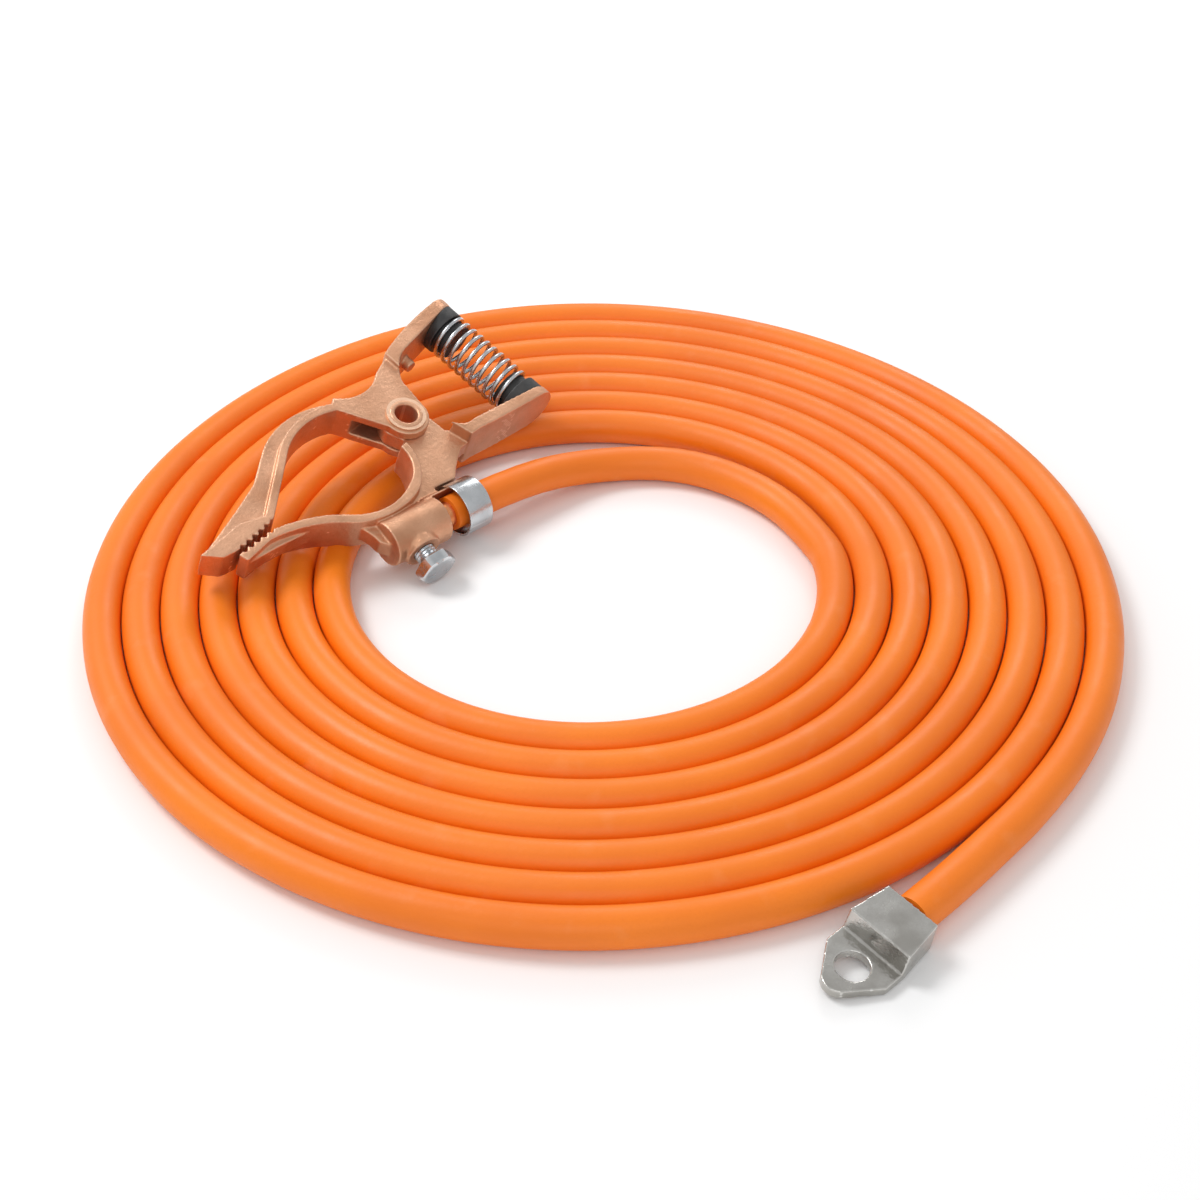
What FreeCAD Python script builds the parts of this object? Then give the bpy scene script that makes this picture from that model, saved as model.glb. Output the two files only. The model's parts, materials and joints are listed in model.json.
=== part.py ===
import FreeCAD, Part
import math
import os
import Sketcher

# Ground clamp: two cast copper-alloy jaws on a hollow rivet, a coil spring between the
# levers, and a long welding cable with a lug on its far end.  Millimetres, +Z up.
# The clamp lies on its side on the coiled cable.  Its pieces are drawn about the hinge:
# x runs toward the levers, y toward the moving lever and z along the rivet.

V = FreeCAD.Vector
doc = FreeCAD.newDocument("ground_clamp")

SIZES = (
    # castings, measured from the hinge axis
    ("jaw_reach", 112), ("tip_lead", 13), ("lever_reach", 70), ("throat_rise", 24),
    ("throat_drop", 31), ("web", 8.5), ("jaw_width", 18), ("fixed_jaw_width", 19), ("jaw_tip_width", 15),
    ("rim_wall", 4), ("lever_width", 23), ("lever_wall", 4.5), ("boss_radius", 11),
    ("tooth_pitch", 3.8), ("tooth_depth", 1.6), ("nub_diameter", 6), ("nub_length", 5),
    # hinge
    ("ear_wall", 4.6), ("slot_clearance", 0.3), ("tongue_clearance", 1.6),
    ("rivet_diameter", 12.4), ("rivet_bore", 10.4),
    ("pivot_clearance", 0.08), ("flange_diameter", 15.6), ("flange_thickness", 1.2),
    ("washer_diameter", 18.5), ("washer_thickness", 0.8), ("end_play", 0.05),
    # spring and the insulators that carry it
    ("spring_at", 58.4), ("spring_outer", 22.4), ("spring_wire", 2.0), ("spring_turns", 10),
    ("collar_height", 6), ("spigot_height", 7), ("spigot_clearance", 0.25),
    # cable end: socket, ring and clamping bolt
    ("lead_angle", 10), ("ring_x", -9.5), ("ring_y", -49.0), ("ring_outer", 24.6),
    ("ring_wall", 1.2), ("ring_length", 13), ("ring_air", 0.6), ("jacket_stub", 3), ("socket_outer", 21),
    ("socket_gap", 5.5), ("socket_length", 30), ("conductor", 10.5), ("conductor_clearance", 0.05),
    ("bolt_at", 17), ("bolt_diameter", 10), ("bolt_head", 16.6), ("bolt_head_height", 6.2),
    ("bolt_shows", 5.5), ("boss_outer", 17.5), ("boss_height", 11.5),
    # cable and lug
    ("cable", 16), ("lug_width", 28), ("lug_thickness", 4), ("lug_barrel", 20),
    ("lug_barrel_height", 12.4), ("lug_mouth_width", 23), ("lug_mouth_height", 13.6), ("lug_gap", 1.2),
    ("lug_lift", 2), ("lug_drop", 0.2), ("lug_roll", 7),
    ("strand_swell", 0.5), ("lug_hole", 13), ("lug_hole_at", 31.5), ("lug_tip", 13.5),
    # how the clamp lies
    ("roll", 23.2), ("pitch", 3.4),
)


class Size:
    """A length that carries both its value and the sheet formula that gives it."""

    def __init__(self, value, formula):
        self.value = value
        self.formula = formula

    @staticmethod
    def of(other):
        return other if isinstance(other, Size) else Size(other, "(%.6f)" % other)

    def mix(self, other, sign, value):
        return Size(value, "(%s %s %s)" % (self.formula, sign, Size.of(other).formula))

    def __add__(self, other):
        return self.mix(other, "+", self.value + Size.of(other).value)

    def __sub__(self, other):
        return self.mix(other, "-", self.value - Size.of(other).value)

    def __mul__(self, other):
        return self.mix(other, "*", self.value * Size.of(other).value)

    def __truediv__(self, other):
        return self.mix(other, "/", self.value / Size.of(other).value)

    def __neg__(self):
        return self * -1

    __radd__ = __add__
    __rmul__ = __mul__

    def __rsub__(self, other):
        return Size.of(other) - self


class Names:
    pass


def fill_sheet():
    sheet = doc.addObject("Spreadsheet::Sheet", "Sizes")
    names = Names()
    for row, (name, value) in enumerate(SIZES, 1):
        sheet.set("A%d" % row, name)
        sheet.set("B%d" % row, str(value))
        sheet.setAlias("B%d" % row, name)
        setattr(names, name, Size(value, "Sizes." + name))
    doc.recompute()
    return names


s = fill_sheet()


# ---- drawing helpers

def bind(item, prop, size):
    """Set a property from the sheet."""
    item.setExpression(prop, Size.of(size).formula)


def origin_plane(body, role):
    return next(f for f in body.Origin.OriginFeatures if f.Role == role)


def new_body(name):
    return doc.addObject("PartDesign::Body", name)


def new_sketch(body, name, role="XY_Plane"):
    sketch = body.newObject("Sketcher::SketchObject", name)
    sketch.AttachmentSupport = [(origin_plane(body, role), "")]
    sketch.MapMode = "FlatFace"
    return sketch


def fix_point(sketch, item, end, x, y):
    """Tie one end of a curve to its distances from the sketch origin."""
    for kind, size in (("DistanceX", Size.of(x)), ("DistanceY", Size.of(y))):
        index = sketch.addConstraint(Sketcher.Constraint(kind, -1, 1, item, end, size.value))
        sketch.setExpression("Constraints[%d]" % index, size.formula)


def fix_centre(sketch, item, chord):
    """Hold an arc's centre where it lies on its chord's bisector."""
    centre = sketch.getPoint(item, 3)
    flat = abs(chord.x) > abs(chord.y)
    kind, value = ("DistanceY", centre.y) if flat else ("DistanceX", centre.x)
    sketch.addConstraint(Sketcher.Constraint(kind, -1, 1, item, 3, value))


def spot(point):
    return V(Size.of(point[0]).value, Size.of(point[1]).value, 0)


def trace(sketch, start, steps):
    """Outline of lines (x, y) and arcs (through x, y, to x, y), closed by a line if need be."""
    steps = list(steps)
    if (spot(steps[-1][-2:]) - spot(start)).Length > 1e-6:
        steps.append(start)
    here = start
    ends = []
    for step in steps:
        target = step[-2:]
        first = spot(here)
        last = spot(target)
        if len(step) == 2:
            item = sketch.addGeometry(Part.LineSegment(first, last), False)
        else:
            item = sketch.addGeometry(Part.Arc(first, spot(step), last), False)
            fix_centre(sketch, item, last - first)
        forward = (sketch.getPoint(item, 1) - first).Length < 1e-6
        start_end, far_end = (1, 2) if forward else (2, 1)
        fix_point(sketch, item, start_end, here[0], here[1])
        ends.append((item, start_end, far_end))
        here = target
    for (item, _, far_end), (after, near_end, _) in zip(ends, ends[1:] + ends[:1]):
        sketch.addConstraint(Sketcher.Constraint("Coincident", item, far_end, after, near_end))


def circle(sketch, x, y, radius):
    x, y, radius = Size.of(x), Size.of(y), Size.of(radius)
    item = sketch.addGeometry(Part.Circle(V(x.value, y.value, 0), V(0, 0, 1), radius.value), False)
    if x.value == 0 and y.value == 0:
        sketch.addConstraint(Sketcher.Constraint("Coincident", item, 3, -1, 1))
    else:
        fix_point(sketch, item, 3, x, y)
    index = sketch.addConstraint(Sketcher.Constraint("Radius", item, radius.value))
    sketch.setExpression("Constraints[%d]" % index, radius.formula)


def extrude(body, kind, name, sketch, length):
    """Pad or Pocket, the same length each side of the sketch."""
    feature = body.newObject("PartDesign::" + kind, name)
    feature.Profile = sketch
    feature.SideType = "Symmetric"
    bind(feature, "Length", length)
    return feature


def pad(body, name, start, steps, length):
    sketch = new_sketch(body, name + "_outline")
    trace(sketch, start, steps)
    return extrude(body, "Pad", name, sketch, length)


def pocket(body, name, start, steps, length, role="XY_Plane"):
    sketch = new_sketch(body, name + "_outline", role)
    trace(sketch, start, steps)
    return extrude(body, "Pocket", name, sketch, length)


def revolve(name, start, steps):
    """Body turned about its own Z axis from an outline in the XZ plane."""
    body = new_body(name)
    sketch = new_sketch(body, name + "_outline", "XZ_Plane")
    trace(sketch, start, steps)
    feature = body.newObject("PartDesign::Revolution", name + "_turned")
    feature.Profile = sketch
    feature.ReferenceAxis = (sketch, ["V_Axis"])
    feature.Angle = 360
    return body


def place(item, x, y, z, rotation=None):
    """Put an item by sheet formulas, with a fixed rotation."""
    if rotation is not None:
        item.Placement = FreeCAD.Placement(V(0, 0, 0), rotation)
    for axis, size in (("x", x), ("y", y), ("z", z)):
        bind(item, "Placement.Base." + axis, size)
    return item


def cylinder(name, radius, height, x=0, y=0, z=0, rotation=None):
    item = doc.addObject("Part::Cylinder", name)
    bind(item, "Radius", radius)
    bind(item, "Height", height)
    return place(item, x, y, z, rotation)


def box(name, length, width, height, x=0, y=0, z=0, rotation=None):
    item = doc.addObject("Part::Box", name)
    bind(item, "Length", length)
    bind(item, "Width", width)
    bind(item, "Height", height)
    return place(item, x, y, z, rotation)


def fuse(name, items):
    item = doc.addObject("Part::MultiFuse", name)
    item.Shapes = items
    return item


def cut(name, base, tool):
    item = doc.addObject("Part::Cut", name)
    item.Base = base
    item.Tool = tool
    return item


def common(name, items):
    item = doc.addObject("Part::MultiCommon", name)
    item.Shapes = items
    return item


def reach(share):
    """Distance from the hinge toward the jaw tips, as a share of the fixed jaw's reach."""
    return s.jaw_reach * -share


def out(share):
    """Distance from the hinge toward the lever ends, as a share of the levers' reach."""
    return s.lever_reach * share


def up(share):
    """Height on the moving side, as a share of the throat's rise."""
    return s.throat_rise * share


def down(share):
    """Depth on the fixed side, as a share of the throat's drop."""
    return s.throat_drop * -share


# ---- shared sizes of the hinge

slot = s.web + s.slot_clearance * 2
ears = slot + s.ear_wall * 2
flange_face = ears / 2 + s.end_play + s.washer_thickness
rivet_bore = s.rivet_diameter / 2 + s.pivot_clearance
bolt_hole = s.bolt_diameter / 2 + s.pivot_clearance
MOVING_TIP = -(s.jaw_reach + s.tip_lead)
TEETH = 7
TEETH_START = 0.965
EIGHTH = math.sqrt(0.5)


def moving_jaw():
    """Upper casting: toothed jaw, arch, two ears around the rivet, and its lever."""
    body = new_body("moving_casting")
    arch_inner = (reach(0.54), up(0.65)), (reach(0.31), up(1.0), reach(0.15), up(0.72))
    arch_outer = (reach(0.31), up(1.36), reach(0.59), up(1.05))
    pad(body, "moving_web", (MOVING_TIP, up(0.06)), (
        (MOVING_TIP + 7, up(-0.23)),
        (reach(0.95), up(-0.28), reach(0.777), up(-0.16)),
        arch_inner[0],
        arch_inner[1],
        (reach(0.11), up(0.2), -s.boss_radius, 0),
        (s.boss_radius * -EIGHTH, s.boss_radius * -EIGHTH, 0, -s.boss_radius),
        (s.boss_radius * EIGHTH, s.boss_radius * -EIGHTH, s.boss_radius, 0),
        (out(0.19), up(0.62)),
        (out(0.27), up(0.92), out(0.40), up(1.12)),
        (out(1), up(1.64) - s.lever_wall),
        (out(1), up(1.64)),
        (out(0.5), up(1.47), out(0.09), up(1.06)),
        (-5.5, up(0.88), reach(0.18), up(1.14)),
        arch_outer,
        (reach(0.71), up(0.67)),
        (reach(0.92), up(0.33), MOVING_TIP, up(0.06)),
    ), s.web)
    pad(body, "moving_rim", (MOVING_TIP, up(0.06)), (
        (MOVING_TIP + 7, up(-0.23)),
        (reach(0.95), up(-0.28), reach(0.777), up(-0.16)),
        arch_inner[0],
        arch_inner[1],
        (reach(0.11), up(0.2), -s.boss_radius, 0),
        (-s.boss_radius + s.rim_wall, 0),
        (reach(0.08), up(0.3), reach(0.13), up(0.72) + s.rim_wall),
        (reach(0.31), up(1.0) + s.rim_wall, reach(0.54) - s.rim_wall * 0.6, up(0.65) + s.rim_wall * 0.8),
        (reach(0.777) - s.rim_wall * 0.6, up(-0.16) + s.rim_wall * 0.8),
        (reach(0.9), up(0.13)),
    ), s.jaw_width)
    pad(body, "moving_ears", (-s.boss_radius, 0), (
        (s.boss_radius * -EIGHTH, s.boss_radius * -EIGHTH, 0, -s.boss_radius),
        (s.boss_radius * EIGHTH, s.boss_radius * -EIGHTH, s.boss_radius, 0),
        (out(0.19), up(0.62)),
        (out(0.27), up(0.92), out(0.40), up(1.12)),
        (out(0.42), up(1.36)),
        (out(0.26), up(1.24), out(0.09), up(1.06)),
        (-5.5, up(0.88), reach(0.18), up(1.14)),
        (reach(0.22), up(0.96)),
    ), ears)
    pad(body, "moving_lever", (out(0.24), up(0.86)), (
        (out(0.31), up(1.03), out(0.40), up(1.12)),
        (out(1), up(1.64) - s.lever_wall),
        (out(1), up(1.64)),
        (out(0.6), up(1.54), out(0.24), up(1.27)),
    ), s.lever_width)
    round_lever(body, "moving")
    clear = s.boss_radius + s.tongue_clearance
    pocket(body, "moving_slot", (-clear, 0), (
        (clear * -EIGHTH, clear * -EIGHTH, 0, -clear),
        (clear * EIGHTH, clear * -EIGHTH, clear, 0),
        (clear * EIGHTH, clear * EIGHTH),
        (0, up(0.62)),
        (reach(0.18), up(0.62)),
        (reach(0.2), up(0.2)),
        (reach(0.11), up(-0.14)),
    ), slot)
    hole = new_sketch(body, "moving_rivet_hole")
    circle(hole, 0, 0, rivet_bore)
    extrude(body, "Pocket", "moving_bore", hole, ears * 2)
    narrow_tip(body, "moving", MOVING_TIP, s.jaw_width)
    cut_teeth(body, "moving", up(-0.275), up(-0.18), 1)
    nub_y = up(1.13) - s.nub_length
    nub = cylinder("nub", s.nub_diameter / 2, s.nub_length * 1.5, out(0.42), nub_y, 0,
                   FreeCAD.Rotation(V(1, 0, 0), -90))
    return fuse("moving_jaw", [body, nub])


def round_lever(body, name):
    """Round the end of a lever as seen along y, past the last third of its length."""
    sketch = new_sketch(body, name + "_end_outline", "XZ_Plane")
    half = s.lever_width / 2
    start = out(1) - half
    trace(sketch, (start, half), (
        (start + half * EIGHTH, half * EIGHTH, out(1), 0),
        (start + half * EIGHTH, half * -EIGHTH, start, -half),
        (start, half * -2),
        (out(1) + half, half * -2),
        (out(1) + half, half * 2),
        (start, half * 2),
    ))
    extrude(body, "Pocket", name + "_end", sketch, s.lever_reach * 4)


def narrow_tip(body, name, tip, width):
    """Taper a jaw as seen along y, from its full width at mid jaw to its blunt tip."""
    sketch = new_sketch(body, name + "_taper_outline", "XZ_Plane")
    for side in (1, -1):
        trace(sketch, (tip, s.jaw_tip_width / 2 * side), (
            (reach(0.62), width / 2 * side),
            (reach(0.62), width * side),
            (tip - width, width * side),
            (tip - width, s.jaw_tip_width / 2 * side),
        ))
    extrude(body, "Pocket", name + "_taper", sketch, s.throat_drop * 4)


def cut_teeth(body, name, first_y, last_y, side):
    """Row of vee teeth across the biting land, side 1 cuts upward and -1 downward."""
    saw = []
    for index in range(TEETH):
        x = reach(TEETH_START) + s.tooth_pitch * index
        y = first_y + (last_y - first_y) * (index / TEETH)
        saw.append((x, y + s.tooth_depth * side))
        saw.append((x + s.tooth_pitch / 2, y - s.tooth_depth * side * 0.4))
    clear = s.tooth_depth * side * -2
    saw.append((saw[-1][0], last_y + clear))
    start = (reach(TEETH_START) - s.tooth_pitch / 2, first_y + clear)
    saw.insert(0, (start[0], first_y - s.tooth_depth * side * 0.4))
    pocket(body, name + "_teeth", start, saw + [start], s.fixed_jaw_width * 2)


# ---- the cable's way out of the clamp, below the x axis by lead_angle

LEAD = math.radians(s.lead_angle.value)
ALONG = V(math.cos(LEAD), -math.sin(LEAD), 0)
ACROSS = V(math.sin(LEAD), math.cos(LEAD), 0)
ALONG_X = FreeCAD.Rotation(V(0, 0, 1), ALONG)


def lead_point(back, aside=0):
    """Point on the cable axis, so far back from the ring's middle and so far aside."""
    back, aside = Size.of(back), Size.of(aside)
    x = s.ring_x - back * ALONG.x + aside * ACROSS.x
    y = s.ring_y - back * ALONG.y + aside * ACROSS.y
    return x, y


socket_face = s.ring_length / 2 + s.jacket_stub + s.socket_gap
socket_back = socket_face + s.socket_length
bolt_back = socket_face + s.bolt_at


BOLT_Z = FreeCAD.Rotation(V(0, 0, 1), -ACROSS)


def bolt_point(depth):
    """Point on the bolt's axis, so far out from the cable's axis."""
    return *lead_point(bolt_back, Size.of(depth) * -1), 0


def fixed_jaw():
    """Lower casting: toothed jaw, throat wall, hinge tongue, lever and cable socket."""
    body = new_body("fixed_casting")
    start = (reach(1), down(0.275))
    throat = (
        (reach(0.94), down(0.236), reach(0.86), down(0.232)),
        (reach(0.69), down(0.42), reach(0.54), down(0.76)),
        (reach(0.39), down(1.0), reach(0.25), down(0.92)),
        (reach(0.165), down(0.70), reach(0.136), down(0.36)),
    )
    over_ring = s.ring_outer / 2 + s.ring_air
    pad(body, "fixed_web", start, throat + (
        (s.boss_radius * -EIGHTH, s.boss_radius * -EIGHTH),
        (-s.boss_radius, 0),
        (s.boss_radius * -EIGHTH, s.boss_radius * EIGHTH, 0, s.boss_radius),
        (s.boss_radius * EIGHTH, s.boss_radius * EIGHTH, s.boss_radius, 0),
        (out(0.17), down(0.38)),
        (out(0.2), down(0.6), out(0.33), down(0.69)),
        (out(1), down(0.9)),
        (out(1), down(0.9) - s.lever_wall),
        (out(0.44), down(0.87), out(0.15), down(0.87)),
        (out(0.05), down(1.0), *lead_point(-s.ring_length / 4, over_ring)),
        lead_point(s.ring_length * 0.7, over_ring),
        lead_point(s.ring_length * 0.7, s.cable * 0.51),
        lead_point(socket_face, s.cable * 0.51),
        lead_point(socket_back, s.socket_outer * -0.2),
        (reach(0.515), down(1.3)),
        (reach(0.54), down(0.87), reach(0.69), down(0.56)),
        (reach(0.84), down(0.47), reach(0.99), down(0.42)),
    ), s.web)
    pad(body, "fixed_rim", start, throat + (
        (reach(0.136) + s.rim_wall, down(0.36)),
        (reach(0.165) + s.rim_wall, down(0.72), reach(0.23), down(0.94) - s.rim_wall),
        (reach(0.39), down(1.0) - s.rim_wall, reach(0.56), down(0.76) - s.rim_wall),
        (reach(0.70), down(0.42) - s.rim_wall, reach(0.86), down(0.24) - s.rim_wall),
        (reach(0.99), down(0.29) - s.rim_wall),
    ), s.fixed_jaw_width)
    pad(body, "fixed_lever", (out(0.18), down(0.5)), (
        (out(0.22), down(0.63), out(0.33), down(0.69)),
        (out(1), down(0.9)),
        (out(1), down(0.9) - s.lever_wall),
        (out(0.6), down(0.97), out(0.3), down(0.88)),
        (out(0.22), down(0.88)),
    ), s.lever_width)
    round_lever(body, "fixed")
    narrow_tip(body, "fixed", reach(1), s.fixed_jaw_width)
    cut_teeth(body, "fixed", down(0.26), down(0.25), -1)
    socket = cylinder("socket", s.socket_outer / 2, s.socket_length, *lead_point(socket_back), 0, ALONG_X)
    boss = cylinder("bolt_boss", s.boss_outer / 2, s.boss_height, *bolt_point(0), BOLT_Z)
    solid = fuse("fixed_blank", [body, socket, boss, support_tongue()])
    bore = cylinder("conductor_bore", s.conductor / 2 + s.conductor_clearance, s.socket_length * 2,
                    *lead_point(socket_back - s.rim_wall), 0, ALONG_X)
    thread = cylinder("bolt_bore", bolt_hole, s.boss_height * 2, *bolt_point(0), BOLT_Z)
    rivet_hole = cylinder("rivet_bore_fixed", rivet_bore, s.web * 4, 0, 0, s.web * -2)
    return cut("fixed_jaw", solid, fuse("fixed_bores", [bore, thread, rivet_hole]))


def support_tongue():
    """Segment of the socket's wall that runs on under the ring and holds the jacket."""
    root = socket_face + s.rim_wall
    rod = cylinder("tongue_rod", s.ring_outer / 2 - s.ring_wall, root + s.ring_length / 2 + 1,
                   *lead_point(root), 0, ALONG_X)
    keep = box("tongue_keep", s.ring_length * 4, s.ring_outer, s.ring_outer,
               *lead_point(s.ring_length * 2, s.cable / 2), s.ring_outer / -2,
               FreeCAD.Rotation(V(0, 0, 1), -s.lead_angle.value))
    return common("support_tongue", [rod, keep])


def rivet():
    """Hollow rivet with a rolled flange on both faces."""
    whole = flange_face + s.flange_thickness
    shank = cylinder("rivet_shank", s.rivet_diameter / 2, whole * 2, 0, 0, -whole)
    near = cylinder("rivet_flange_near", s.flange_diameter / 2, s.flange_thickness, 0, 0, flange_face)
    far = cylinder("rivet_flange_far", s.flange_diameter / 2, s.flange_thickness, 0, 0, -whole)
    hollow = cylinder("rivet_hollow", s.rivet_bore / 2, whole * 4, 0, 0, whole * -2)
    return cut("pivot_rivet", fuse("rivet_blank", [shank, near, far]), hollow)


def washer(name, low):
    """Flat washer between a flange and an ear."""
    outer = cylinder(name + "_disc", s.washer_diameter / 2, s.washer_thickness, 0, 0, low)
    inner = cylinder(name + "_eye", rivet_bore, s.washer_thickness * 3, 0, 0, low - s.washer_thickness)
    return cut(name, outer, inner)


# ---- spring seat: the pads' inner faces at spring_at, and the line between them

def moving_seat():
    root = up(1.12)
    end = up(1.64) - s.lever_wall
    share = (s.spring_at - s.lever_reach * 0.4) / (s.lever_reach * 0.6)
    return root + (end - root) * share


def fixed_seat():
    root = down(0.69)
    end = down(0.9)
    share = (s.spring_at - s.lever_reach * 0.33) / (s.lever_reach * 0.67)
    return root + (end - root) * share


def insulator(name, seat, side, casting):
    """Fibre cup trimmed to its lever's face: a collar, and a spigot inside the spring."""
    spigot = s.spring_outer / 2 - s.spring_wire - s.spigot_clearance
    body = revolve(name + "_blank", (0, s.lever_wall * -0.45), (
        (s.spring_outer / 2, s.lever_wall * -0.45),
        (s.spring_outer / 2, s.collar_height),
        (spigot, s.collar_height),
        (spigot, s.collar_height + s.spigot_height),
        (0, s.collar_height + s.spigot_height),
    ))
    place(body, s.spring_at, seat, 0, FreeCAD.Rotation(V(1, 0, 0), 90 * side))
    return cut(name, body, casting)


def spring():
    """Open coil spring between the two collars, along y."""
    radius = (s.spring_outer - s.spring_wire) / 2
    low = fixed_seat() + s.collar_height + s.spring_wire / 2
    high = moving_seat() - s.collar_height - s.spring_wire / 2
    helix = doc.addObject("Part::Helix", "spring_line")
    bind(helix, "Height", high - low)
    bind(helix, "Pitch", (high - low) / s.spring_turns)
    bind(helix, "Radius", radius)
    place(helix, s.spring_at, low, 0, FreeCAD.Rotation(V(1, 0, 0), -90))
    wire = doc.addObject("Part::Circle", "spring_section")
    bind(wire, "Radius", s.spring_wire / 2)
    place(wire, s.spring_at + radius, low, 0)
    sweep = doc.addObject("Part::Sweep", "spring")
    sweep.Sections = [wire]
    sweep.Spine = (helix, ["Edge1"])
    sweep.Solid = True
    sweep.Frenet = True
    return sweep


# ---- what holds the cable in the clamp

def cable_ring():
    """Steel sleeve that binds the jacket to the support tongue."""
    back = s.ring_length / 2
    outer = cylinder("ring_outside", s.ring_outer / 2, s.ring_length, *lead_point(back), 0, ALONG_X)
    inner = cylinder("ring_inside", s.ring_outer / 2 - s.ring_wall, s.ring_length * 3,
                     *lead_point(back * 3), 0, ALONG_X)
    return cut("cable_ring", outer, inner)


def cable_bolt():
    """Hex bolt whose end presses on the bare conductor."""
    tip = s.conductor / 2 + s.slot_clearance
    shank = cylinder("bolt_shank", s.bolt_diameter / 2, s.boss_height + s.bolt_shows - tip + 1,
                     *bolt_point(tip), BOLT_Z)
    head = doc.addObject("Part::Prism", "bolt_hexagon")
    head.Polygon = 6
    bind(head, "Circumradius", s.bolt_head / math.sqrt(3))
    bind(head, "Height", s.bolt_head_height)
    place(head, *bolt_point(s.boss_height + s.bolt_shows), BOLT_Z)
    return fuse("cable_bolt", [shank, head])


def bare_end(name, gap, inside, start, rotation):
    """Bare conductor: the bundle in its bore, and the strands swelling before it."""
    bundle = cylinder(name + "_bundle", s.conductor / 2, gap + inside, *start, rotation)
    swell = cylinder(name + "_swell", s.conductor / 2 + s.strand_swell, gap - s.slot_clearance,
                     *start, rotation)
    return fuse(name, [bundle, swell])


def clamp_conductor():
    end = s.ring_length / 2 + s.jacket_stub
    toward = FreeCAD.Rotation(V(0, 0, 1), -ALONG)
    return bare_end("conductor_clamp_end", s.socket_gap, s.socket_length - s.rim_wall - 1,
                    (*lead_point(end), 0), toward)


# ---- cable lug, drawn with its barrel's mouth at the origin and x toward its tip

lug_bore = s.lug_barrel - s.rim_wall


def cable_lug():
    """Hammered lug: flattened barrel, a step, and a flat tongue with clipped corners."""
    body = new_body("lug_blank")
    low = s.cable / -2 + s.lug_lift
    mouth = s.lug_gap
    side = new_sketch(body, "lug_side", "XZ_Plane")
    trace(side, (mouth, low), (
        (s.lug_hole_at + s.lug_tip, low),
        (s.lug_hole_at + s.lug_tip, low + s.lug_thickness),
        (s.lug_barrel + 1, low + s.lug_thickness),
        (s.lug_barrel - 1, low + s.lug_barrel_height),
        (mouth, low + s.lug_mouth_height),
    ))
    extrude(body, "Pad", "lug_bar", side, s.lug_width)
    half = s.lug_width / 2
    tip = s.lug_hole_at + s.lug_tip
    plan = (
        (s.lug_barrel, half),
        (s.lug_hole_at - 2, half),
        (tip - 2, s.lug_tip * 0.35),
        (tip, 0, tip - 2, s.lug_tip * -0.35),
        (s.lug_hole_at - 2, -half),
        (s.lug_barrel, -half),
        (mouth, s.lug_mouth_width / -2),
    )
    around = tip + s.lug_width
    pocket(body, "lug_trim", (mouth, s.lug_mouth_width / 2), plan + (
        (-s.lug_width, s.lug_mouth_width / -2),
        (-s.lug_width, -s.lug_width),
        (around, -s.lug_width),
        (around, s.lug_width),
        (-s.lug_width, s.lug_width),
        (-s.lug_width, s.lug_mouth_width / 2),
    ), s.cable * 4)
    hole = new_sketch(body, "lug_hole_outline")
    circle(hole, s.lug_hole_at, 0, s.lug_hole / 2)
    extrude(body, "Pocket", "lug_bore", hole, s.cable * 4)
    barrel_bore = cylinder("lug_barrel_bore", s.conductor / 2 + s.conductor_clearance, lug_bore,
                           0, 0, s.lug_drop, FreeCAD.Rotation(V(0, 0, 1), V(1, 0, 0)))
    return cut("cable_lug", body, barrel_bore)


def lug_conductor():
    depth = lug_bore - s.lug_gap - s.slot_clearance
    turn = FreeCAD.Rotation(V(0, 0, 1), V(1, 0, 0))
    return bare_end("conductor_lug_end", s.lug_gap, depth, (0, 0, s.lug_drop), turn)


# ---- the cable: two free runs chosen by hand and the coil between them, row frame

def bent_path(points):
    """Straight runs joined by tangent arcs, each as large as its two runs allow."""
    edges = []
    here = points[0]
    for before, corner, after in zip(points, points[1:], points[2:]):
        run_in = corner - before
        run_out = after - corner
        turn = run_in.getAngle(run_out)
        setback = 0.45 * min(run_in.Length, run_out.Length)
        radius = setback / math.tan(turn / 2)
        print("cable bend radius %.1f" % radius)
        into = V(run_in).normalize()
        away = V(run_out).normalize()
        first = corner - into * setback
        last = corner + away * setback
        bulge = (away - into).normalize()
        middle = corner + bulge * (radius / math.cos(turn / 2) - radius)
        edges.append(Part.LineSegment(here, first).toShape())
        edges.append(Part.Arc(first, middle, last).toShape())
        here = last
    edges.append(Part.LineSegment(here, points[-1]).toShape())
    return Part.Wire(edges)


def tube(name, points):
    """Cable jacket along a route, its volume compared with section times length."""
    path = bent_path(points)
    section = Part.Wire(Part.Circle(points[0], points[1] - points[0], s.cable.value / 2).toShape())
    solid = path.makePipeShell([section], True, False)
    expected = math.pi * s.cable.value ** 2 / 4 * path.Length
    print("%s length %.1f, volume ratio %.4f" % (name, path.Length, solid.Volume / expected))
    item = doc.addObject("Part::Feature", name)
    item.Shape = solid
    return item


COIL_CENTRE = V(24.6, -102.1, 0)
COIL_START = -41.4
COIL_START_RADIUS = 105.8
COIL_STEP = 16.35
COIL_TURNS = 7 + 52 / 360
COIL_SWELL = 9.0
COIL_SWELL_AT = 48.6


def coil_radius(turns):
    """Centre-line radius after so many clockwise turns: a spiral that swells toward one side."""
    bearing = math.radians(COIL_START - turns * 360 - COIL_SWELL_AT)
    swell = COIL_SWELL * max(0, math.cos(bearing)) ** 4 * turns / COIL_TURNS
    return COIL_START_RADIUS + COIL_STEP * turns + swell


def coil_point(turns, aside=0):
    angle = math.radians(COIL_START - turns * 360)
    return COIL_CENTRE + V(math.cos(angle), math.sin(angle), 0) * (coil_radius(turns) + aside)


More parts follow.
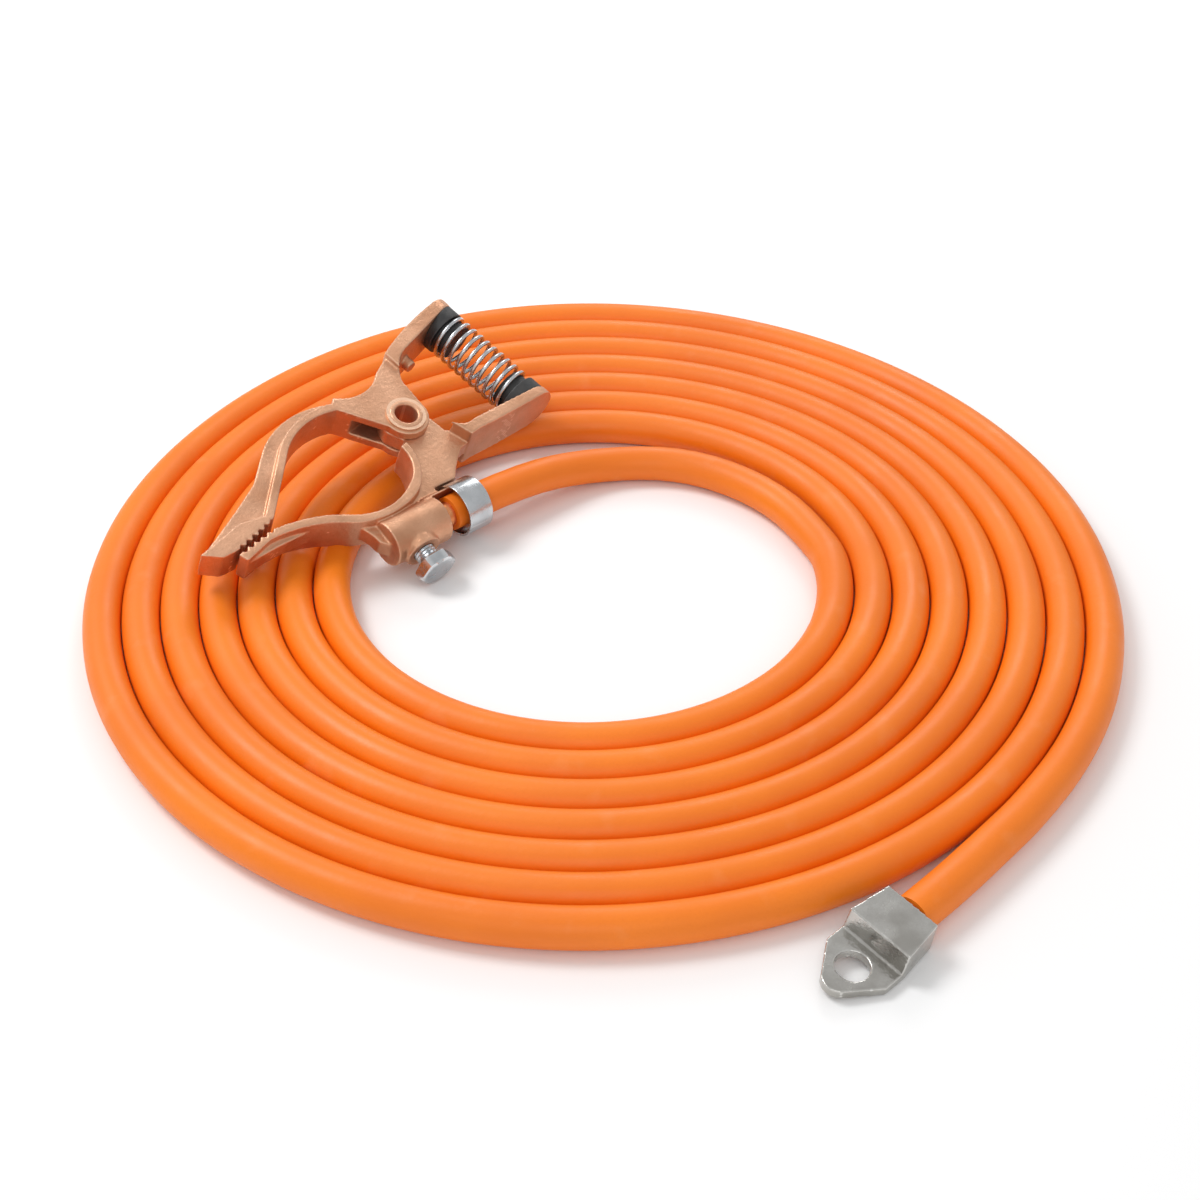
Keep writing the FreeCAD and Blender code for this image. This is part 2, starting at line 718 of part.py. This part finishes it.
def spiral_edge(first, aside):
    """One turn of the spiral from its given count of turns, closed by a radial step."""
    steps = 24
    points = [coil_point(first + index / steps, aside) for index in range(steps + 1)]
    curve = Part.BSplineCurve()
    curve.interpolate(points)
    return Part.Wire([curve.toShape(), Part.LineSegment(points[-1], points[0]).toShape()])


def cable_coil(jaw):
    """The coiled turns as one closed ring of their outer shape, dented where the jaw rests."""
    half = s.cable.value / 2
    outside = Part.Face(spiral_edge(COIL_TURNS - 1, half))
    inside = Part.Face(spiral_edge(0, -half))
    item = doc.addObject("Part::Feature", "cable_coil")
    item.Shape = outside.cut(inside).Faces[0].extrude(V(0, 0, s.cable.value)).cut(jaw.Shape)
    return item


# ---- assembly

def check(items):
    doc.recompute()
    for item in doc.Objects:
        if "Invalid" in item.State or "Error" in item.State:
            raise RuntimeError("%s failed: %s" % (item.Name, item.State))
    for item in items:
        if item.Shape.isNull() or not item.Shape.isValid():
            raise RuntimeError("%s has no valid shape" % item.Name)


def lay_down(items):
    """Tip the clamp onto its side, its lowest point on the floor and its middle at the origin."""
    turn = FreeCAD.Rotation(V(0, 1, 0), -s.pitch.value) * FreeCAD.Rotation(V(1, 0, 0), s.roll.value)
    whole = Part.makeCompound([item.Shape for item in items])
    whole.Placement = FreeCAD.Placement(V(0, 0, 0), turn)
    bounds = whole.optimalBoundingBox(False)
    base = V(-bounds.Center.x, -bounds.Center.y, -bounds.ZMin)
    attitude = FreeCAD.Placement(base, turn)
    for item in items:
        item.Placement = attitude
    return attitude


moving = moving_jaw()
fixed = fixed_jaw()
clamp = [
    moving,
    fixed,
    rivet(),
    washer("washer_near", flange_face - s.washer_thickness),
    washer("washer_far", -flange_face),
    spring(),
    insulator("moving_insulator", moving_seat(), 1, doc.getObject("moving_casting")),
    insulator("fixed_insulator", fixed_seat(), -1, doc.getObject("fixed_casting")),
    cable_ring(),
    cable_bolt(),
    clamp_conductor(),
]
check(clamp)
attitude = lay_down(clamp)
print("hinge at", attitude.Base)
print("hinge axis", attitude.Rotation.multVec(V(0, 0, 1)))
print("clamp length %.1f" % Part.makeCompound([i.Shape for i in clamp]).BoundBox.XLength)

mouth_x, mouth_y = lead_point(s.ring_length / 2 + s.jacket_stub)
mouth = attitude.multVec(V(mouth_x.value, mouth_y.value, 0))
print("jacket starts at", mouth, "runs along", attitude.Rotation.multVec(ALONG))

LEAD_POINTS = (
    (49.6, -37.0, 16.5),
    (92, -48.5, 8),
    (120.5, -82, 8),
    (124, -130, 8),
    (103.9, -172.1, 8),
)
TAIL_POINTS = (
    (11.4, -324.3, 8),
    (-7.6, -323.1, 8),
    (-42.1, -320.6, 8),
    (-61.9, -317.8, 8),
)

lead = tube("cable_lead", [mouth] + [V(*p) for p in LEAD_POINTS])
coil = cable_coil(fixed)
tail = tube("cable_tail", [V(*p) for p in TAIL_POINTS])

lug = cable_lug()
lug_core = lug_conductor()
tail_end = V(*TAIL_POINTS[-1])
tail_way = tail_end - V(*TAIL_POINTS[-2])
lug_turn = FreeCAD.Rotation(V(1, 0, 0), V(tail_way.x, tail_way.y, 0)) * \
    FreeCAD.Rotation(V(1, 0, 0), -s.lug_roll.value)
for item in (lug, lug_core):
    item.Placement = FreeCAD.Placement(tail_end, lug_turn)

nodes = clamp + [lead, coil, tail, lug, lug_core]
check(nodes)
os.makedirs("parts", exist_ok=True)
for item in nodes:
    item.Label = item.Name
    item.Shape.exportStep("parts/%s.step" % item.Label)
    print(item.Label, "solids", len(item.Shape.Solids), "volume %.0f" % item.Shape.Volume)
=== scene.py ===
import json
import math
import bmesh
import bpy
from mathutils import Matrix, Vector


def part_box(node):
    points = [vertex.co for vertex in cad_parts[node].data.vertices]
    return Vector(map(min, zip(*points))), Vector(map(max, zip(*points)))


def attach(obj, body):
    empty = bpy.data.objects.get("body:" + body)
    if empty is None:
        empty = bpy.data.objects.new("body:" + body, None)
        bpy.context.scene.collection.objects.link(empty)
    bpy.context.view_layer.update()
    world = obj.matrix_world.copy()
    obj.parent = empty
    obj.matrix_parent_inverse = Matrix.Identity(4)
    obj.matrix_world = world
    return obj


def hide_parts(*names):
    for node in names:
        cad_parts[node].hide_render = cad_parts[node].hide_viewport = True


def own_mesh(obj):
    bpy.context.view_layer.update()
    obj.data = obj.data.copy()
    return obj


# Ground clamp on its coiled welding cable.  Metres, row frame, standing on z = 0.

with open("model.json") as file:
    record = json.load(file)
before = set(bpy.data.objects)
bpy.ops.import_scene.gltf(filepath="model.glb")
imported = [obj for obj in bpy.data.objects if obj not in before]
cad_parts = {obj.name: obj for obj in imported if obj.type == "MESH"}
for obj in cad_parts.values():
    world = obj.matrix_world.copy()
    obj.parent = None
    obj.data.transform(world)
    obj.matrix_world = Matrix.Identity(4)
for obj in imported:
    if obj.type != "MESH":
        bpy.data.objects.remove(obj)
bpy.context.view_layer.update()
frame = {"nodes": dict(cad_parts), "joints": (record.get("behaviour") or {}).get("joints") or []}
scene = bpy.context.scene

# ---- the clamp's own axes: x toward the levers, y toward the moving side, z along the rivet

HINGE = Vector(frame["joints"][0]["pos_m"])
TURN = Matrix.Rotation(math.radians(-3.4), 3, "Y") @ Matrix.Rotation(math.radians(23.2), 3, "X")
CLAMP = Matrix.Translation(HINGE) @ TURN.to_4x4()
LEAD_ANGLE = math.radians(10)
ALONG = Vector((math.cos(LEAD_ANGLE), -math.sin(LEAD_ANGLE), 0))
DOWN = Vector((-math.sin(LEAD_ANGLE), -math.cos(LEAD_ANGLE), 0))
RING = Vector((-0.0095, -0.0490, 0))


def local(x, y, z=0.0):
    """A point given in the clamp's own axes, in the row frame."""
    return CLAMP @ Vector((x, y, z))


def aimed(origin, way):
    """The placement that puts +Z along way at origin, both in the clamp's own axes."""
    turn = Vector((0, 0, 1)).rotation_difference(way).to_matrix().to_4x4()
    return CLAMP @ Matrix.Translation(origin) @ turn


# ---- camera

camera = bpy.data.objects.new("camera", bpy.data.cameras.new("camera"))
scene.collection.objects.link(camera)
camera.location = (-0.5028, -0.5274, 0.5227)
facing = Vector((0.7815, 0.6239, -math.tan(math.radians(38))))
camera.rotation_euler = facing.to_track_quat("-Z", "Y").to_euler()
camera.data.sensor_width = 36
camera.data.lens = 58.08
scene.camera = camera


# ---- materials

def link(tree, source, target):
    """Joins one node's output to another's input."""
    tree.links.new(source, target)


def noise(tree, scale, detail):
    """A noise value over the object's own coordinates."""
    place = tree.nodes.new("ShaderNodeTexCoord")
    grain = tree.nodes.new("ShaderNodeTexNoise")
    grain.inputs["Scale"].default_value = scale
    grain.inputs["Detail"].default_value = detail
    link(tree, place.outputs["Object"], grain.inputs["Vector"])
    return grain.outputs["Fac"]


def remap(tree, value, low, high, new_low, new_high):
    """The value spread from low..high to new_low..new_high, held inside them."""
    node = tree.nodes.new("ShaderNodeMapRange")
    sockets = ("From Min", low), ("From Max", high), ("To Min", new_low), ("To Max", new_high)
    for name, number in sockets:
        node.inputs[name].default_value = number
    link(tree, value, node.inputs["Value"])
    return node.outputs["Result"]


def mixed(tree, share, a, b):
    """Colour between a and b; each is a colour or another node's output."""
    node = tree.nodes.new("ShaderNodeMix")
    node.data_type = "RGBA"
    factor, colour_a, colour_b = node.inputs[0], node.inputs[6], node.inputs[7]
    link(tree, share, factor)
    for socket, colour in ((colour_a, a), (colour_b, b)):
        if isinstance(colour, tuple):
            socket.default_value = (*colour, 1)
        else:
            link(tree, colour, socket)
    colour_out = node.outputs[2]
    return colour_out


def bumped(tree, layers):
    """Stacked bumps, coarse first: (value, height in metres)."""
    normal = None
    for value, height in layers:
        node = tree.nodes.new("ShaderNodeBump")
        node.inputs["Strength"].default_value = 1.0
        node.inputs["Distance"].default_value = height
        link(tree, value, node.inputs["Height"])
        if normal is not None:
            link(tree, normal, node.inputs["Normal"])
        normal = node.outputs["Normal"]
    return normal


def finish_of(name, light, dark, metallic, rough, patches, grain, heights, worn=None):
    """A surface with patchy colour, uneven roughness and a coarse and a fine grain.

    patches and grain are noise scales, heights the two grains' depths, and worn the colour
    of rubbed edges.
    """
    made = bpy.data.materials.new(name)
    made.use_nodes = True
    tree = made.node_tree
    shader = tree.nodes["Principled BSDF"]
    shader.inputs["Metallic"].default_value = metallic
    cloud = remap(tree, noise(tree, patches, 5), 0.35, 0.65, 0, 1)
    colour = mixed(tree, cloud, light, dark)
    speck = remap(tree, noise(tree, grain, 3), 0.45, 0.75, 0, 0.35)
    colour = mixed(tree, speck, colour, dark)
    if worn is not None:
        edge = tree.nodes.new("ShaderNodeNewGeometry")
        share = remap(tree, edge.outputs["Pointiness"], 0.51, 0.58, 0, 0.8)
        colour = mixed(tree, share, colour, worn)
    link(tree, colour, shader.inputs["Base Color"])
    unevenness = remap(tree, noise(tree, patches * 2.3, 4), 0.3, 0.7, *rough)
    link(tree, unevenness, shader.inputs["Roughness"])
    coarse, fine = heights
    normal = bumped(tree, ((noise(tree, grain * 0.35, 3), coarse), (noise(tree, grain, 2), fine)))
    link(tree, normal, shader.inputs["Normal"])
    return made


copper = finish_of("cast_copper", (0.76, 0.43, 0.27), (0.55, 0.28, 0.16),
                   metallic=0.90, rough=(0.38, 0.54), patches=45, grain=1500,
                   heights=(0.00026, 0.00010), worn=(0.90, 0.62, 0.44))
zinc = finish_of("zinc_plate", (0.60, 0.62, 0.64), (0.44, 0.46, 0.48),
                 metallic=1.0, rough=(0.16, 0.30), patches=90, grain=2600,
                 heights=(0.00001, 0.00001), worn=(0.80, 0.81, 0.82))
black = finish_of("black_fibre", (0.016, 0.016, 0.017), (0.035, 0.034, 0.033),
                  metallic=0.0, rough=(0.42, 0.62), patches=160, grain=2200,
                  heights=(0.00008, 0.00005), worn=(0.09, 0.09, 0.09))
strand = finish_of("copper_strand", (0.86, 0.38, 0.17), (0.66, 0.24, 0.09),
                   metallic=0.95, rough=(0.24, 0.42), patches=300, grain=3000,
                   heights=(0.00002, 0.00001))
jacket = finish_of("orange_jacket", (0.92, 0.215, 0.003), (0.84, 0.180, 0.002),
                   metallic=0.0, rough=(0.40, 0.56), patches=14, grain=900,
                   heights=(0.00010, 0.00003))
tinned = finish_of("tinned_copper", (0.60, 0.59, 0.56), (0.42, 0.405, 0.375),
                   metallic=1.0, rough=(0.12, 0.30), patches=70, grain=1600,
                   heights=(0.00012, 0.00002), worn=(0.82, 0.81, 0.78))

# pale dust in patches on the jacket
dusty = jacket.node_tree
powder = remap(dusty, noise(dusty, 60, 8), 0.60, 0.78, 0, 0.12)
paint = dusty.nodes["Principled BSDF"].inputs["Base Color"]
link(dusty, mixed(dusty, powder, paint.links[0].from_socket, (0.98, 0.50, 0.26)), paint)


def paint_with(obj, material):
    """Gives an object this material and no other."""
    obj.data.materials.clear()
    obj.data.materials.append(material)


def dress(obj, material, slot, *nodes, body="fixed_side"):
    """Gives a finished piece its material and its body, and hides the CAD nodes it stands for;
    slot is not used.
    """
    paint_with(obj, material)
    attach(obj, body)
    if nodes:
        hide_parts(*nodes)
    return obj


# ---- meshes

def as_object(name, bm, placement=Matrix.Identity(4), smooth_angle=35):
    """An object from a bmesh, moved into the row frame, smooth but for its sharp edges."""
    mesh = bpy.data.meshes.new(name)
    bm.normal_update()
    bm.to_mesh(mesh)
    bm.free()
    mesh.transform(placement)
    mesh.shade_smooth()
    mesh.set_sharp_from_angle(angle=math.radians(smooth_angle))
    obj = bpy.data.objects.new(name, mesh)
    scene.collection.objects.link(obj)
    return obj


def polar(radius, turn, height):
    """A point at that radius and angle round +Z."""
    return Vector((radius * math.cos(turn), radius * math.sin(turn), height))


def bridge(bm, lower, upper):
    """Faces between two rings of as many points."""
    count = len(lower)
    for i in range(count):
        j = (i + 1) % count
        bm.faces.new((lower[i], lower[j], upper[j], upper[i]))


def lathe(name, profile, placement):
    """A closed profile of (radius, height) turned round +Z."""
    bm = bmesh.new()
    around = 96
    rings = []
    for i in range(around):
        turn = math.tau * i / around
        rings.append([bm.verts.new(polar(radius, turn, height)) for radius, height in profile])
    for i in range(around):
        bridge(bm, rings[i], rings[(i + 1) % around])
    bmesh.ops.recalc_face_normals(bm, faces=bm.faces)
    return as_object(name, bm, placement)


def rounded(corners, radius, steps):
    """A closed profile with each corner rounded in so many steps."""
    made = []
    count = len(corners)
    for i in range(count):
        before, at, after = (Vector(corners[(i + k) % count]) for k in (-1, 0, 1))
        size = min(radius, (before - at).length * 0.45, (after - at).length * 0.45)
        start = at + (before - at).normalized() * size
        end = at + (after - at).normalized() * size
        for k in range(steps + 1):
            t = k / steps
            made.append(tuple(start.lerp(at, t).lerp(at.lerp(end, t), t)))
    return made


def softened(node, voxel, passes):
    """A copy of a CAD node with its edges eased: remeshed at voxel, smoothed so many times."""
    mesh = frame["nodes"][node].data.copy()
    bm = bmesh.new()
    bm.from_mesh(mesh)
    bmesh.ops.remove_doubles(bm, verts=bm.verts, dist=1e-6)
    bm.to_mesh(mesh)
    bm.free()
    obj = bpy.data.objects.new(node + "_skin", mesh)
    scene.collection.objects.link(obj)
    remesh = obj.modifiers.new("remesh", "REMESH")
    remesh.mode = "VOXEL"
    remesh.voxel_size = voxel
    smooth = obj.modifiers.new("smooth", "SMOOTH")
    smooth.factor = 0.5
    smooth.iterations = passes
    bpy.context.view_layer.update()
    depsgraph = bpy.context.evaluated_depsgraph_get()
    baked = bpy.data.meshes.new_from_object(obj.evaluated_get(depsgraph))
    obj.modifiers.clear()
    obj.data = baked
    baked.shade_smooth()
    return obj


def strands(name, origin, way, length, outer, across, swell):
    """A bundle of twisted wires, so many across, fuller in its middle."""
    bm = bmesh.new()
    wire_radius = outer / across / 2
    ring_spacing = wire_radius * 1.9
    twist = 0.9
    sides, rows = 8, 14
    for ring in range(across // 2 + 1):
        around = max(1, ring * 6)
        for k in range(around):
            tube = []
            for row in range(rows + 1):
                t = row / rows
                bulge = 1 + swell * math.sin(math.pi * t)
                turn = math.tau * k / around + twist * t
                middle = polar(ring * ring_spacing * bulge, turn, length * t)
                tube.append([bm.verts.new(middle + polar(wire_radius, math.tau * i / sides, 0))
                             for i in range(sides)])
            for lower, upper in zip(tube, tube[1:]):
                bridge(bm, lower, upper)
            bm.faces.new(list(reversed(tube[0])))
            bm.faces.new(tube[-1])
    turned = Vector((0, 0, 1)).rotation_difference(way).to_matrix().to_4x4()
    return as_object(name, bm, Matrix.Translation(origin) @ turned)


# ---- the cable: one length from the clamp through the coil to the lug

CABLE = 0.016
LEAD_POINTS = (
    (0.0096, -0.0312, 0.0172), (0.0496, -0.0370, 0.0165), (0.0920, -0.0485, 0.008),
    (0.1205, -0.0820, 0.008), (0.1240, -0.1300, 0.008),
)
TAIL_POINTS = (
    (-0.0076, -0.3231, 0.008), (-0.0421, -0.3206, 0.008), (-0.0619, -0.3178, 0.008),
)
COIL_CENTRE = Vector((0.0246, -0.1021, 0.008))
COIL_START = math.radians(-41.4)
COIL_RADIUS = 0.1058
COIL_STEP = 0.01635
COIL_TURNS = 7 + 52 / 360
COIL_BULGE = 0.0090
BULGE_AT = math.radians(48.6)
POINTS_PER_TURN = 40


def coil_point(turns):
    """A point of the coil, so many turns clockwise from its inner end."""
    angle = COIL_START - math.tau * turns
    bulge = max(0.0, math.cos(angle - BULGE_AT)) ** 4 * turns / COIL_TURNS
    radius = COIL_RADIUS + COIL_STEP * turns + COIL_BULGE * bulge
    return COIL_CENTRE + Vector((math.cos(angle), math.sin(angle), 0)) * radius


coil_steps = round(COIL_TURNS * POINTS_PER_TURN)
route = [Vector(p) for p in LEAD_POINTS]
route += [coil_point(COIL_TURNS * i / coil_steps) for i in range(coil_steps + 1)]
route += [Vector(p) for p in TAIL_POINTS]

line = bpy.data.curves.new("cable", "CURVE")
line.dimensions = "3D"
spline = line.splines.new("NURBS")
spline.points.add(len(route) - 1)
for point, place in zip(spline.points, route):
    point.co = (*place, 1)
spline.order_u = 3
spline.use_endpoint_u = True
spline.resolution_u = 5
line.bevel_depth = CABLE / 2
line.bevel_resolution = 7
line.use_fill_caps = True
cable = bpy.data.objects.new("cable_run", line)
scene.collection.objects.link(cable)
dress(cable, jacket, "orange_jacket", "cable_lead", "cable_coil", "cable_tail")

# ---- castings, lug and insulators

CASTING_VOXEL, CASTING_PASSES = 0.00045, 11
FIBRE_VOXEL, FIBRE_PASSES = 0.0003, 4

casting = softened("fixed_jaw", CASTING_VOXEL, CASTING_PASSES)
dress(casting, copper, "cast_copper_alloy", "fixed_jaw")
casting = softened("moving_jaw", CASTING_VOXEL, CASTING_PASSES)
dress(casting, copper, "cast_copper_alloy", "moving_jaw", body="moving_side")
lug = dress(softened("cable_lug", 0.0004, 4), tinned, "tinned_copper", "cable_lug")
collar = softened("fixed_insulator", FIBRE_VOXEL, FIBRE_PASSES)
dress(collar, black, "black_fibre", "fixed_insulator")
collar = softened("moving_insulator", FIBRE_VOXEL, FIBRE_PASSES)
dress(collar, black, "black_fibre", "moving_insulator", body="moving_side")

# ---- hollow rivet with rolled flanges, and its washers

BORE, SHANK, FLANGE = 0.0052, 0.0062, 0.0078
# half the rivet's length; a known fault, 0.62 mm less than half the CAD rivet's
RIVET_HALF = 0.01058
rivet_centre = sum(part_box("pivot_rivet"), Vector()) / 2
rivet_middle = (TURN.inverted() @ (rivet_centre - HINGE)).z
rivet_low = rivet_middle - RIVET_HALF
lower_half = [
    (BORE, rivet_low + 0.0008),
    (BORE + 0.0007, rivet_low + 0.0001),
    (FLANGE - 0.0004, rivet_low + 0.0002),
    (FLANGE, rivet_low + 0.0008),
    (FLANGE - 0.0003, rivet_low + 0.0012),
    (SHANK, rivet_low + 0.0012),
]
upper_half = [(radius, 2 * rivet_middle - height) for radius, height in reversed(lower_half)]
rivet = lathe("pivot_rivet_skin", rounded(lower_half + upper_half, 0.0004, 3), CLAMP)
dress(rivet, copper, "cast_copper_alloy", "pivot_rivet")
for name in ("washer_near", "washer_far"):
    paint_with(frame["nodes"][name], copper)

# ---- spring

spring = softened("spring", 0.00028, 2)
dress(spring, zinc, "zinc_plated_steel", "spring")
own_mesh(spring)

# ---- ring and clamping bolt

RING_INNER, RING_OUTER, RING_HALF = 0.0111, 0.0123, 0.0065
ring_corners = [
    (RING_INNER, -RING_HALF),
    (RING_OUTER, -RING_HALF),
    (RING_OUTER, RING_HALF),
    (RING_INNER, RING_HALF),
]
ring = lathe("cable_ring_skin", rounded(ring_corners, 0.0005, 4), aimed(RING, ALONG))
dress(ring, zinc, "zinc_plated_steel", "cable_ring")

BOLT_AT = RING + ALONG * -0.032
BOLT_TIP, HEAD_LOW, HEAD_HIGH = 0.0056, 0.0170, 0.0232
HALF_FLATS = 0.0083
THREAD_PITCH, THREAD_OUTER, THREAD_ROOT = 0.0015, 0.0050, 0.0044


def thread_radius(height, share):
    """Radius of the thread at that height, a share of a turn round."""
    phase = (height / THREAD_PITCH - share) % 1.0
    crest = 1 - abs(phase * 2 - 1)
    return THREAD_ROOT + (THREAD_OUTER - THREAD_ROOT) * crest


def head_radius(turn, limit):
    """Radius of the hexagon at that angle, held inside limit times half the width over flats."""
    sector = (turn % (math.pi / 3)) - math.pi / 6
    return min(HALF_FLATS / math.cos(sector), HALF_FLATS * limit)


def bolt():
    """Hex head with chamfered corners on a threaded shank."""
    bm = bmesh.new()
    around, rows = 48, 120
    turns = [math.tau * i / around for i in range(around)]
    levels = []
    for row in range(rows + 1):
        height = BOLT_TIP + (HEAD_LOW - BOLT_TIP) * row / rows
        levels.append([bm.verts.new(polar(thread_radius(height, i / around), turn, height))
                       for i, turn in enumerate(turns)])
    head = (
        (HEAD_LOW, 0.93),
        (HEAD_LOW + 0.0003, 0.95),
        (HEAD_LOW + 0.0008, 1.10),
        (HEAD_LOW + 0.0014, 1.155),
        (HEAD_HIGH - 0.0014, 1.155),
        (HEAD_HIGH - 0.0007, 1.08),
        (HEAD_HIGH - 0.0001, 0.95),
        (HEAD_HIGH, 0.90),
    )
    for height, limit in head:
        levels.append([bm.verts.new(polar(head_radius(turn, limit), turn, height))
                       for turn in turns])
    for lower, upper in zip(levels, levels[1:]):
        bridge(bm, lower, upper)
    bm.faces.new(list(reversed(levels[0])))
    bm.faces.new(levels[-1])
    return as_object("cable_bolt_skin", bm, aimed(BOLT_AT, DOWN), 28)


dress(bolt(), zinc, "zinc_plated_steel", "cable_bolt")

# ---- bare copper at both ends

strands_start = local(*(RING + ALONG * -0.0095))
clamp_end = strands("clamp_strands", strands_start, TURN @ -ALONG,
                    length=0.0080, outer=0.0100, across=7, swell=0.04)
dress(clamp_end, strand, "copper_strand")
bare_ends = [frame["nodes"][name] for name in ("conductor_clamp_end", "conductor_lug_end")]
for bare_end in bare_ends:
    paint_with(bare_end, strand)

# ---- floor and light

floor_mesh = bmesh.new()
bmesh.ops.create_grid(floor_mesh, x_segments=2, y_segments=2, size=5)
floor = as_object("floor", floor_mesh)
paper = bpy.data.materials.new("paper")
paper.use_nodes = True
paper_shader = paper.node_tree.nodes["Principled BSDF"]
paper_shader.inputs["Base Color"].default_value = (0.93, 0.93, 0.93, 1)
paper_shader.inputs["Roughness"].default_value = 0.9
floor.data.materials.append(paper)

world = bpy.data.worlds.new("studio")
world.use_nodes = True
sky = world.node_tree.nodes["Background"]
sky.inputs["Color"].default_value = (1, 1, 1, 1)
sky.inputs["Strength"].default_value = 0.66
scene.world = world
scene.view_settings.view_transform = "Standard"


def softbox(name, place, size, power):
    """A square area light that faces the coil."""
    light = bpy.data.lights.new(name, "AREA")
    light.size = size
    light.energy = power
    obj = bpy.data.objects.new(name, light)
    obj.location = place
    obj.rotation_euler = (COIL_CENTRE - Vector(place)).to_track_quat("-Z", "Y").to_euler()
    scene.collection.objects.link(obj)


softbox("key", (-0.3, 0.9, 1.5), 0.7, 15)
softbox("fill", (-1.2, -0.9, 1.2), 1.0, 4)
softbox("back", (1.3, 0.6, 1.0), 0.6, 5)
